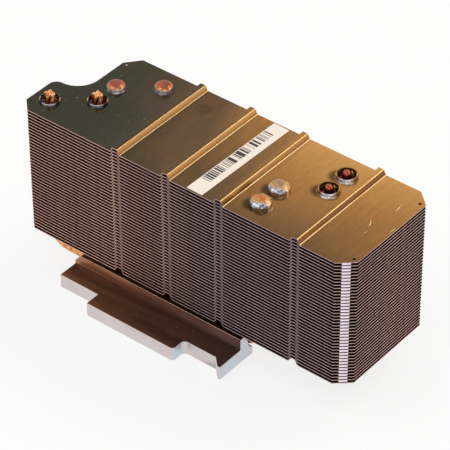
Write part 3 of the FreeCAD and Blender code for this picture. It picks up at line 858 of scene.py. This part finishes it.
def relief_spots(sizes):
    """The middle of each relief hole, inside a cut corner and towards the fin's end."""
    low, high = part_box("fin_01")
    middle = (low + high) / 2
    spots = []
    for first, second in corner_cuts(sizes):
        inward = Vector((first.y - second.y, second.x - first.x, 0.0)).normalized()
        shift = (second - first).normalized() * sizes.relief_shift
        if abs(first.x - middle.x) > abs(second.x - middle.x):
            shift.negate()
        spots.append((first + second) / 2 + inward * (sizes.relief_inset + sizes.relief_hole / 2) + shift)
    return spots


def flat_blank(sizes, with_relief):
    """The fin's blank: its outline with the pipes' holes, filled."""
    bm = bmesh.new()
    edges = ring_edges(bm, fin_plan(sizes))
    for _, _, x, y in pipe_legs():
        edges += circle_edges(bm, x, y, pipe_radius() + sizes.hole_fit, HOLE_STEPS)
    reliefs = relief_spots(sizes) if with_relief else []
    for spot in reliefs:
        edges += circle_edges(bm, spot.x, spot.y, sizes.relief_hole / 2, RELIEF_STEPS)
    bmesh.ops.triangle_fill(bm, use_beauty=True, use_dissolve=False, edges=edges)
    return bm


def folded_blank(name, sizes, rise, with_relief):
    """The blank bent up into its ribs, as a mesh with no thickness whose faces know their slots."""
    points = fold_line(sizes, rise)
    bm = flat_blank(sizes, with_relief)
    for spot in points:
        geometry = bm.verts[:] + bm.edges[:] + bm.faces[:]
        bmesh.ops.bisect_plane(bm, geom=geometry, dist=1e-7, plane_co=(spot.x, 0, 0), plane_no=(1, 0, 0))
    for vert in bm.verts:
        vert.co.z = height_at(vert.co.x, points)
    bm.normal_update()
    for face in bm.faces:
        if face.normal.z < 0:
            face.normal_flip()
        lean = face.normal.x
        face.material_index = PLATE if lean < FOLD_LEAN else FOLD if lean < FLANK_LEAN else FLANK
    mesh = mesh_from(bm, name)
    for _ in range(TAB + 1):
        mesh.materials.append(None)
    return mesh


def thick_sheet(name, flat, sizes):
    """A folded blank given its thickness downwards and rolled-over edges."""
    blank = linked(name, flat)
    solid = blank.modifiers.new("thickness", "SOLIDIFY")
    solid.thickness = sizes.thickness
    solid.offset = -1.0
    solid.use_even_offset = True
    solid.material_offset_rim = EDGE
    shear = blank.modifiers.new("shear", "BEVEL")
    shear.width = sizes.shear
    shear.segments = 1
    shear.limit_method = "ANGLE"
    shear.angle_limit = math.radians(60)
    mesh = apply_modifiers(blank)
    bpy.data.objects.remove(blank)
    return mesh


def add_tabs(bm, sizes, drop):
    """Spacer tabs, bent down from the cut corners."""
    thickness, outer = sizes.thickness, sizes.tab_bend
    section = arc(-outer, -outer, outer, 90, 0, 5) + [
        (0.0, -drop), (-thickness, -drop), (-thickness, -thickness), (-outer, -thickness)]
    for first, second in corner_cuts(sizes):
        along = (second - first).normalized()
        outward = Vector((along.y, -along.x, 0.0))
        rings = []
        for side in (-0.5, 0.5):
            start = (first + second) / 2 + along * sizes.tab_width * side
            rings.append([start + outward * reach + Vector((0.0, 0.0, level)) for reach, level in section])
        before = set(bm.faces)
        skin_rings(bm, rings)
        for face in set(bm.faces) - before:
            face.material_index = TAB


def pressed_fin(name, sizes, with_relief):
    """A whole fin: folded ribs, thickness and spacer tabs, with its upper face at height 0."""
    low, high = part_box("fin_01")
    flat = folded_blank(name, sizes, high.z - low.z - sizes.thickness, with_relief)
    bm = bmesh.new()
    bm.from_mesh(thick_sheet(name, flat, sizes))
    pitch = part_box("fin_02")[0].z - low.z
    add_tabs(bm, sizes, pitch - sizes.tab_gap)
    return shaded_mesh(bm, name, 35.0)


def smudge_and_shadows():
    """Where handling has darkened the top fin, and the painted shadow beside each right pipe end, as (X, Y,
    radius, strength).
    """
    spots = [SMUDGE]
    for _, end, x, y in pipe_legs():
        if end == "right":
            spots.append((x / MM + RIGHT_END_SHADOW[0], y / MM + RIGHT_END_SHADOW[1], *RIGHT_END_SHADOW[2:]))
    return [(x * MM, y * MM, radius * MM, depth) for x, y, radius, depth in spots]


class HEATSINK_OT_fins(bpy.types.Operator):
    """Build every pressed fin in place of the plain ones"""
    bl_idname = "heatsink.build_fins"
    bl_label = "Fins"

    def execute(self, context):
        sizes = context.scene.heatsink_fins
        low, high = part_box("top_fin")
        edge = sheared_edge("sheared_edge", sizes, low, high, 1.0)
        # The flanks' steep edges take a dimmed copy of the edge finish: painted shade.
        rims = [edge, sheared_edge("shaded_steep_edge", sizes, low, high, 0.6), edge, folded_tab(sizes)]
        outer = [rolled_plate(sizes, low, high, smudge_and_shadows()), painted_flank_sheen(sizes, low, high),
                 painted_fold_highlight(sizes, low, high)] + rims
        plain = pressed_fin("plain_fin", sizes, with_relief=False)
        lowest = plain.copy()
        for node in sorted(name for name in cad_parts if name.startswith("fin_")):
            face = inner_plate(sizes, node == "fin_01")
            item = add_object("pressed_" + node, lowest if node == "fin_01" else plain, [face] * 3 + rims)
            item.location.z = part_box(node)[0].z + sizes.thickness
            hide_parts(node)
        top = add_object("pressed_top_fin", pressed_fin("pressed_top_fin", sizes, with_relief=True), outer)
        top.location.z = top_face()
        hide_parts("top_fin")
        self.scratches()
        return {"FINISHED"}

    def scratches(self):
        """Fine pale scratches at the top fin's right end."""
        pale = Shader("scratched_metal").finish(1.0, 0.35, (1.0, 0.86, 0.52))
        for number, line in enumerate(SCRATCHES, start=1):
            spots = [(x * MM, y * MM, 0.0) for x, y in line]
            item = add_object("scratch_" + str(number), drip("scratch", spots, SCRATCH_WIDTH), [pale])
            item.location.z = top_face() - SCRATCH_DEPTH


# Heat pipes ----------------------------------------------------------------------------------------

# Chords in a pipe's quarter bend.
BEND_STEPS = 14
# How deep the folds of a crimped tip are, as a share of its radius.
STAR_FOLDS = 0.27
NUB_FOLDS = 0.03
# How far a star twists as it rises: nine degrees for each millimetre.
STAR_TWIST = math.radians(9) / MM
# How much wider a star is over its lobes than its profile is.
STAR_SPREAD = 1.22


def pipe_path(number, sizes):
    """X of a pipe's left and right leg, its Y, and the points along both its bends."""
    low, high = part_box(PIPE_NODES[number - 1])
    radius, bend = pipe_radius(), sizes.bend_radius
    left, right, floor = low.x + radius, high.x - radius, low.z + radius
    y = (low.y + high.y) / 2
    bends = (arc(left + bend, floor + bend, bend, 180, 270, BEND_STEPS)
             + arc(right - bend, floor + bend, bend, 270, 360, BEND_STEPS))
    return left, right, y, [Vector((x, y, z)) for x, z in bends]


def end_rings(x, y, profile, sides, folds=0.0, twist=0.0):
    """Rings that close a pipe's end, from (radius, height, depth of fold) points, from below upwards."""
    rings = []
    for radius, height, depth in profile:
        ring = []
        for angle in round_steps(sides):
            wave = 1.0 + folds * depth * math.cos(4 * (angle - twist * max(height, 0.0)))
            ring.append(Vector((x + radius * wave * math.cos(angle), y + radius * wave * math.sin(angle),
                                top_face() + height)))
        rings.append(ring)
    return rings


def dome_profile(sizes, radius):
    """Straight wall, rounded shoulder and nearly flat crown of a domed end."""
    shoulder = sizes.dome_height - sizes.dome_crown
    points = [(radius, -END_START)] + crown_profile(radius, shoulder, sizes.dome_crown, 0.66, 0.03)
    return [(reach, height, 0.0) for reach, height in points]


def star_profile(sizes, radius, reach):
    """Neck and lobes of a star-shaped crimped tip."""
    half = sizes.star_width / 2 / STAR_SPREAD
    return [(radius, -END_START, 0.0), (radius, -sizes.crimp_depth, 0.0),
            (radius * 0.80, -sizes.crimp_depth + 0.25 * MM, 0.1), (half * 1.25, -0.45 * MM, 0.6),
            (half * 1.04, 0.1 * MM, 1.0), (half, reach * 0.45, 1.0), (half, reach - 0.95 * MM, 1.0),
            (half * 0.93, reach - 0.5 * MM, 1.0), (half * 0.76, reach - 0.16 * MM, 1.0),
            (half * 0.50, reach, 0.8), (half * 0.10, reach - 0.55 * MM, 0.3)]


def nub_profile(sizes, radius):
    """Neck and rounded top of a round crimped tip."""
    half, reach = sizes.nub_width / 2, sizes.nub_height
    return [(radius, -END_START, 0.0), (radius, -sizes.crimp_depth, 0.0),
            (radius * 0.82, -sizes.crimp_depth + 0.2 * MM, 0.0), (half * 1.15, -0.75 * MM, 0.0),
            (half, -0.2 * MM, 1.0), (half, reach * 0.42, 1.0), (half * 0.95, reach * 0.62, 1.0),
            (half * 0.81, reach * 0.81, 1.0), (half * 0.56, reach * 0.94, 1.0),
            (half * 0.28, reach * 0.99, 1.0), (half * 0.05, reach, 1.0)]


class HEATSINK_OT_pipes(bpy.types.Operator):
    """Build the four heat pipes with their domed and crimped ends"""
    bl_idname = "heatsink.build_pipes"
    bl_label = "Heat pipes"

    def execute(self, context):
        sizes = context.scene.heatsink_pipes
        copper = drawn_copper(sizes, top_face())
        tips = {"left": crimped_copper(sizes, top_face()), "right": browned_copper(sizes, top_face())}
        for number, node in enumerate(PIPE_NODES, start=1):
            finishes = [copper, tips[CRIMPED_ENDS[number - 1]]]
            item = add_object("copper_pipe_" + str(number), self.pipe_mesh(number, sizes), finishes)
            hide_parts(node)
        return {"FINISHED"}

    def end(self, number, end, x, y, sizes):
        """Rings of one end of a pipe, from below upwards."""
        radius = pipe_radius()
        if end != CRIMPED_ENDS[number - 1]:
            return end_rings(x, y, dome_profile(sizes, radius), sizes.sides)
        if end == "left":
            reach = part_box(PIPE_NODES[number - 1])[1].z - top_face()
            return end_rings(x, y, star_profile(sizes, radius, reach), sizes.sides, STAR_FOLDS, STAR_TWIST)
        return end_rings(x, y, nub_profile(sizes, radius), sizes.sides, NUB_FOLDS)

    def pipe_mesh(self, number, sizes):
        """One pipe: left end, left leg, both bends and the right leg as one skin."""
        left, right, y, spots = pipe_path(number, sizes)
        radius = pipe_radius()
        headings = [(after - before).normalized() for before, after in zip(spots, spots[2:])]
        headings = [Vector((0.0, 0.0, -1.0)), *headings, Vector((0.0, 0.0, 1.0))]
        rings = self.end(number, "left", left, y, sizes)[::-1]
        for spot, heading in zip(spots, headings):
            side = Vector((-heading.z, 0.0, heading.x))
            rings.append([spot + side * math.cos(a) * radius + Vector((0.0, math.sin(a) * radius, 0.0))
                          for a in round_steps(sizes.sides)])
        for ring in self.end(number, "right", right, y, sizes):
            rings.append([Vector((2 * right - spot.x, spot.y, spot.z)) for spot in ring])
        bm = bmesh.new()
        skin_rings(bm, rings)
        for face in bm.faces:
            middle = face.calc_center_median()
            end = "left" if middle.x < (left + right) / 2 else "right"
            if middle.z > top_face() - sizes.crimp_depth and end == CRIMPED_ENDS[number - 1]:
                face.material_index = 1
        return shaded_mesh(bm, "copper_pipe", 60.0)


# Collars and solder --------------------------------------------------------------------------------

# Facets round the collars, the solder rings and the solder caps.
COLLAR_SIDES = 56
RING_SIDES = 64
CAP_SIDES = 72
# How far the skin of each of these wanders in and out.
LEFT_COLLAR_LUMP = 0.03 * MM
RIGHT_COLLAR_LUMP = 0.08 * MM
RING_LUMP = 0.06 * MM
CAP_LUMP = 0.10 * MM
# The pinched seam beside a round crimped tip: X, Y and Z from the tip's foot, and half its width.
SEAM = ((1.25, 0.85, -0.6, 0.34), (1.30, 0.90, 0.6, 0.36), (1.42, 1.02, 1.5, 0.30), (1.20, 0.95, 2.3, 0.08))
# The run of solder beside each cap: where it starts and its step, in radians about the cap; its
# reach from the cap's middle, and how that grows and sways from step to step, in millimetres.
RUN_STARTS = {1: 0.5, 2: -0.35}
RUN_STEPS = 7
RUN_TURN = 0.14
RUN_REACH, RUN_GROWTH, RUN_SWAY = 3.75, 0.16, 0.10
RUN_WIDTH = 0.13 * MM


def collar_profile(sizes, inner, rise, flare):
    """A collar drawn up from the sheet, as a closed profile that widens towards its foot."""
    outer = inner + sizes.collar_wall
    below, shoulder, rim = -0.25 * MM, rise - 0.14 * MM, rise - 0.03 * MM
    return [(outer + flare, -0.02 * MM), (outer + flare * 0.72, 0.10 * MM),
            (outer + flare * 0.45, rise * 0.4), (outer + flare * 0.20, rise * 0.7),
            (outer, shoulder), (outer - 0.05 * MM, rim), ((outer + inner) / 2, rise),
            (inner + 0.05 * MM, rim), (inner, shoulder), (inner, below), (outer + flare, below)]


def ring_profile(sizes, radius):
    """Solder that has crept up round a domed end, as a closed profile."""
    rise = sizes.solder_ring
    below, inside = -0.2 * MM, radius - 0.1 * MM
    return [(radius + 0.46 * MM, -0.02 * MM), (radius + 0.36 * MM, 0.22 * MM),
            (radius + 0.26 * MM, 0.50 * MM), (radius + 0.15 * MM, rise * 0.7),
            (radius + 0.04 * MM, rise), (inside, rise + 0.03 * MM), (inside, below),
            (radius + 0.4 * MM, below)]


def cap_profile(sizes):
    """A low dome of solder over a domed end, on an upright skirt."""
    radius, skirt = sizes.cap_radius, sizes.cap_skirt
    foot = [(radius * 0.95, -0.05 * MM), (radius * 0.98, 0.30 * MM)]
    return foot + crown_profile(radius, skirt, sizes.cap_height - skirt, 0.88, 0.02)


class HEATSINK_OT_solder(bpy.types.Operator):
    """Build the collars and the solder round the pipe ends"""
    bl_idname = "heatsink.build_solder"
    bl_label = "Collars and solder"

    def execute(self, context):
        sizes = context.scene.heatsink_pipes
        inner = pipe_radius() + context.scene.heatsink_fins.hole_fit
        silver = bright_solder(sizes)
        gold = fluxed_solder(sizes, "gold_flux", sizes.flux)
        # The dark collars' plain tone is a painted reflection of the dark plate; both collars take painted
        # glints at their sides.
        dark_collar = tinned_collar(sizes, "dark_collar", sizes.dark_collar_reflection, sizes.copper)
        gold_collar = tinned_collar(sizes, "gold_collar", dim(sizes.flux, 0.4), sizes.flux)
        crowns = {1: fluxed_solder(sizes, "copper_crown", sizes.red_crown),
                  2: fluxed_solder(sizes, "tan_crown", sizes.tan_crown)}
        for number, end, x, y in pipe_legs():
            name = f"{end}_{number}"
            crimped = CRIMPED_ENDS[number - 1] == end
            if crimped and end == "left":
                profile = collar_profile(sizes, inner, sizes.left_collar, sizes.left_flare)
                mesh = lathe("collar", profile, COLLAR_SIDES, LEFT_COLLAR_LUMP, number, closed=True)
                self.put("collar_" + name, mesh, dark_collar, x, y)
            elif crimped:
                profile = collar_profile(sizes, inner, sizes.right_collar, sizes.right_flare)
                mesh = lathe("collar", profile, COLLAR_SIDES, RIGHT_COLLAR_LUMP, number, closed=True)
                self.put("collar_" + name, mesh, gold_collar, x, y)
                self.put("crimp_seam_" + name, self.seam(), gold, x, y, "pipe_copper")
            elif number in CAPPED_PIPES:
                mesh = lathe("solder_cap", cap_profile(sizes), CAP_SIDES, CAP_LUMP, number)
                self.put("solder_cap_" + name, mesh, crowns[number], x, y)
                self.put("solder_run_" + name, self.run(number), gold, x, y)
            else:
                profile = ring_profile(sizes, pipe_radius())
                mesh = lathe("solder_ring", profile, RING_SIDES, RING_LUMP, number, closed=True)
                self.put("solder_ring_" + name, mesh, silver, x, y)
        return {"FINISHED"}

    def put(self, name, mesh, finish, x, y, slot="fin_aluminium"):
        """Place one turned piece on a pipe leg's axis."""
        item = add_object(name, mesh, [finish])
        item.location = (x, y, top_face())

    def seam(self):
        """The thin pinched seam that stands beside a round crimped tip."""
        rings = []
        for x, y, z, width in SEAM:
            foot = Vector((x * MM, y * MM, z * MM))
            rings.append([foot + Vector((math.cos(a) * width * MM, math.sin(a) * width * MM * 0.8, 0.0))
                          for a in round_steps(8)])
        return skinned("crimp_seam", rings, 80.0)

    def run(self, number):
        """A small run of solder on the plate beside a cap."""
        spots = []
        for i in range(RUN_STEPS):
            angle = RUN_STARTS[number] - RUN_TURN * i
            reach = (RUN_REACH + RUN_GROWTH * i + RUN_SWAY * math.sin(i * 2.1)) * MM
            spots.append((reach * math.cos(angle), reach * math.sin(angle), 0.04 * MM))
        return drip("solder_run", spots, RUN_WIDTH)


# Base and label ------------------------------------------------------------------------------------

# Edges that turn by more than this many degrees get broken, and shade as sharp.
BREAK_ANGLE = 32.0


class HEATSINK_OT_base(bpy.types.Operator):
    """Give the base block broken edges and its milled finish"""
    bl_idname = "heatsink.build_base"
    bl_label = "Base"

    def execute(self, context):
        sizes = context.scene.heatsink_base
        bm = bmesh.new()
        bm.from_mesh(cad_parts["base"].data)
        bmesh.ops.remove_doubles(bm, verts=bm.verts[:], dist=1e-6)
        bmesh.ops.dissolve_limit(bm, angle_limit=math.radians(1.0), verts=bm.verts[:], edges=bm.edges[:])
        self.weigh_edges(bm)
        self.choose_slots(bm)
        item = add_object("milled_base", mesh_from(bm, "milled_base"), self.finishes(sizes))
        bevel = item.modifiers.new("edges", "BEVEL")
        bevel.width = sizes.edge_break
        bevel.segments = 2
        bevel.limit_method = "WEIGHT"
        # The broken upper edges take a painted highlight.
        bevel.material = EDGE_HIGHLIGHT
        mesh = apply_modifiers(item)
        for face in mesh.polygons:
            if face.material_index == EDGE_HIGHLIGHT and (face.normal.z < 0.25 or abs(face.normal.x) > 0.5):
                face.material_index = SIDE
        smooth(mesh, BREAK_ANGLE)
        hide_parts("base")
        return {"FINISHED"}

    def finishes(self, sizes):
        """The base's finishes, in the order of its slots."""
        return [milled_aluminium("milled_sides", sizes.side_tone, dim(sizes.side_tone, 0.75)),
                milled_aluminium("sawn_ends", sizes.end_tone, dim(sizes.end_tone, 0.8)),
                shaded_upper_faces(sizes, *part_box("base")),
                milled_aluminium("edge_highlights", sizes.edge_highlight_tone, sizes.edge_highlight_lines),
                milled_aluminium("dark_corner", sizes.corner_tone, sizes.corner_lines)]

    def weigh_edges(self, bm):
        """Mark the convex edges that get broken."""
        weight = bm.edges.layers.float.new("bevel_weight_edge")
        for edge in bm.edges:
            sharp = edge.is_convex and edge.calc_face_angle(0.0) > math.radians(BREAK_ANGLE)
            edge[weight] = 1.0 if sharp else 0.0

    def choose_slots(self, bm):
        """Give the ends, the upper faces with their painted shade and the ridge's sloping foot their slots.
        """
        ridge = max(vert.co.z for vert in bm.verts)
        for face in bm.faces:
            lean_x, lean_y, lean_z = abs(face.normal.x), abs(face.normal.y), face.normal.z
            on_ridge = face.calc_center_median().z > ridge * 0.6 and lean_y > 0.7
            if lean_x > 0.6:
                face.material_index = END
            elif 0.3 < lean_z < 0.9 and lean_y > 0.3:
                face.material_index = CORNER
            elif lean_z > 0.3 or on_ridge:
                face.material_index = UPPER


class HEATSINK_OT_label(bpy.types.Operator):
    """Print plain bars on the label strip"""
    bl_idname = "heatsink.build_label"
    bl_label = "Label"

    def execute(self, context):
        sizes = context.scene.heatsink_label
        low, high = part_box("label")
        half = Vector((sizes.width / 2, (high.y - low.y) / 2 - sizes.end_gap, (high.z - low.z) / 2))
        bm = bmesh.new()
        bmesh.ops.create_cube(bm, size=2.0)
        for vert in bm.verts:
            vert.co *= half
        paper = printed_paper(sizes, -half, half)
        item = add_object("printed_label", mesh_from(bm, "printed_label"), [paper])
        item.location = (low + high) / 2
        item.rotation_euler.z = -sizes.skew
        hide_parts("label")
        return {"FINISHED"}


# Stage ---------------------------------------------------------------------------------------------

# Name, place, width in metres, power in watts and colour of each soft light.
LIGHTS = (
    ("key", (-0.35, -0.75, 0.95), 0.9, 2.6, (1.0, 0.97, 0.95)),
    ("fill", (0.95, -0.75, 0.55), 0.8, 2.2, (0.93, 0.96, 1.0)),
    ("warm", (0.95, 0.75, 0.35), 0.6, 3.0, (1.0, 0.82, 0.58)),
    ("rim", (0.36, 0.72, 0.90), 0.35, 1.4, (1.0, 0.95, 0.88)),
)
LIGHT_AIM = Vector((0.01, 0.0, 0.03))
CAMERA_AIM = Vector((20.4, -9.7, 42.0)) * MM
# Where the studio dome is brightest, and its colours there and opposite.
DOME_AIM = (-0.56, 0.69, 0.46)
DOME_BRIGHT = (0.93, 0.92, 0.90)
DOME_DIM = (0.42, 0.42, 0.43)
FLOOR_RADIUS = 6.0
FLOOR_GAP = 0.02 * MM


def turned(direction):
    """The turn that aims a light or a camera along a direction."""
    return direction.to_track_quat("-Z", "Y")


class HEATSINK_OT_stage(bpy.types.Operator):
    """Set the floor, the soft lights and the camera"""
    bl_idname = "heatsink.build_stage"
    bl_label = "Stage"

    def execute(self, context):
        sizes = context.scene.heatsink_stage
        self.floor(sizes)
        self.world(context.scene)
        for light in LIGHTS:
            self.light(*light)
        self.camera(context.scene, sizes)
        context.scene.view_settings.view_transform = "Standard"
        return {"FINISHED"}

    def floor(self, sizes):
        """A large pale disc under the part."""
        bm = bmesh.new()
        bmesh.ops.create_circle(bm, cap_ends=True, segments=96, radius=FLOOR_RADIUS)
        mesh = mesh_from(bm, "floor")
        mesh.materials.append(floor_paint(sizes.floor))
        item = linked("floor", mesh)
        item.location.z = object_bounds()[0][2] - FLOOR_GAP
        item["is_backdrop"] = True

    def world(self, scene):
        """A studio dome, brightest at the back left and dimmer towards the front right."""
        shader = Shader("studio", "worlds", "Background")
        way = shader.node("ShaderNodeTexCoord").outputs["Generated"]
        towards = shader.spread(shader.vectors("DOT_PRODUCT", way, DOME_AIM), -0.6, 0.8)
        shader.feed(shader.surface, "Color", shader.ramp(towards, [(0.0, DOME_DIM), (1.0, DOME_BRIGHT)]))
        scene.world = shader.owner

    def light(self, name, spot, size, power, tone):
        """A soft square lamp aimed at the part."""
        data = bpy.data.lights.new(name, "AREA")
        data.size = size
        data.energy = power
        data.color = tone
        item = linked(name, data)
        item.location = spot
        item.rotation_euler = turned(LIGHT_AIM - Vector(spot)).to_euler()

    def camera(self, scene, sizes):
        """A long lens looking down on the front right corner."""
        turn, height = sizes.azimuth, sizes.elevation
        back = Vector((math.sin(turn) * math.cos(height),
                       -math.cos(turn) * math.cos(height),
                       math.sin(height)))
        data = bpy.data.cameras.new("camera")
        data.lens = sizes.lens
        data.sensor_width = 36.0
        data.clip_end = 50.0
        item = linked("camera", data)
        item.location = CAMERA_AIM + back * sizes.distance
        roll = Euler((0.0, 0.0, sizes.roll)).to_matrix()
        item.rotation_euler = (turned(-back).to_matrix() @ roll).to_euler()
        scene.camera = item


# Panel and registration ----------------------------------------------------------------------------

OPERATORS = (HEATSINK_OT_fins, HEATSINK_OT_pipes, HEATSINK_OT_solder, HEATSINK_OT_base,
             HEATSINK_OT_label, HEATSINK_OT_stage)
GROUPS = (("heatsink_fins", FinSizes), ("heatsink_pipes", PipeSizes), ("heatsink_base", BaseSizes),
          ("heatsink_label", LabelSizes), ("heatsink_stage", StageSizes))


class HEATSINK_PT_panel(bpy.types.Panel):
    """Buttons and sizes for the heatsink"""
    bl_idname = "HEATSINK_PT_panel"
    bl_label = "Server heatsink"
    bl_space_type = "VIEW_3D"
    bl_region_type = "UI"
    bl_category = "Heatsink"

    def draw(self, context):
        for operator in OPERATORS:
            self.layout.operator(operator.bl_idname)
        for name, group in GROUPS:
            box = self.layout.box()
            box.label(text=group.__doc__)
            for prop in group.__annotations__:
                box.prop(getattr(context.scene, name), prop)


CLASSES = tuple(group for _, group in GROUPS) + OPERATORS + (HEATSINK_PT_panel,)


def register():
    for item in CLASSES:
        bpy.utils.register_class(item)
    for name, group in GROUPS:
        setattr(bpy.types.Scene, name, PointerProperty(type=group))


def unregister():
    for name, _ in GROUPS:
        delattr(bpy.types.Scene, name)
    for item in reversed(CLASSES):
        bpy.utils.unregister_class(item)


def main():
    register()
    bpy.ops.heatsink.build_fins()
    bpy.ops.heatsink.build_pipes()
    bpy.ops.heatsink.build_solder()
    bpy.ops.heatsink.build_base()
    bpy.ops.heatsink.build_label()
    bpy.ops.heatsink.build_stage()


if __name__ == "__main__":
    main()
